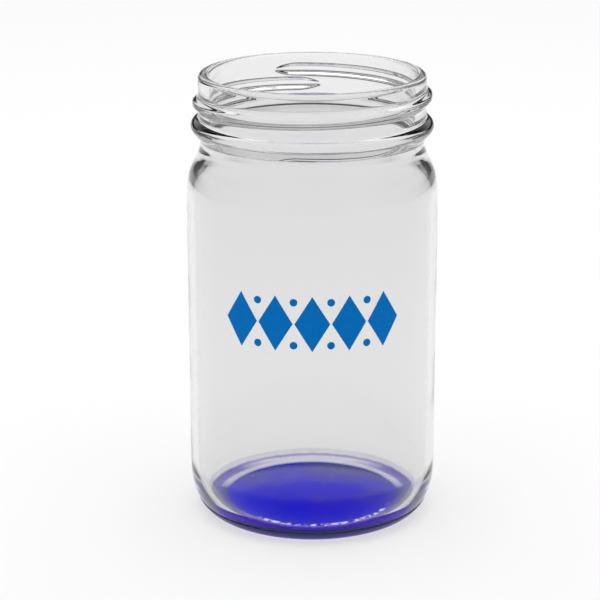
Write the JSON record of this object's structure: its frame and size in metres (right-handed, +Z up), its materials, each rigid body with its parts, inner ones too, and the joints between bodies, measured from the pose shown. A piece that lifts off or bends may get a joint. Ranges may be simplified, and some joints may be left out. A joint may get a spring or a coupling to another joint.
{
  "type": "glass coin jar",
  "caption": "Clear glass coin jar with an open screw-thread mouth, straight round body, rounded heel, blue-tinted base and a printed band of lozenges.",
  "frame": {"origin": "centre of the standing face under the base", "axes": "+Z up along the jar's axis, out of the mouth; -Y towards the printed front"},
  "size_m": [0.0598, 0.0599, 0.108],
  "materials": {
    "clear_glass": "clear pressed flint glass, fire-polished, with soft ripples and a mould seam",
    "blue_coating": "violet-blue lacquer, deep and slightly translucent, sprayed on the underside and the foot of the heel",
    "blue_ink": "opaque screen-printed blue ink with a soft gloss"
  },
  "bodies": {
    "root": {"glass_jar": "clear_glass", "base_coating": "blue_coating", "front_print": "blue_ink"}
  },
  "joints": []
}
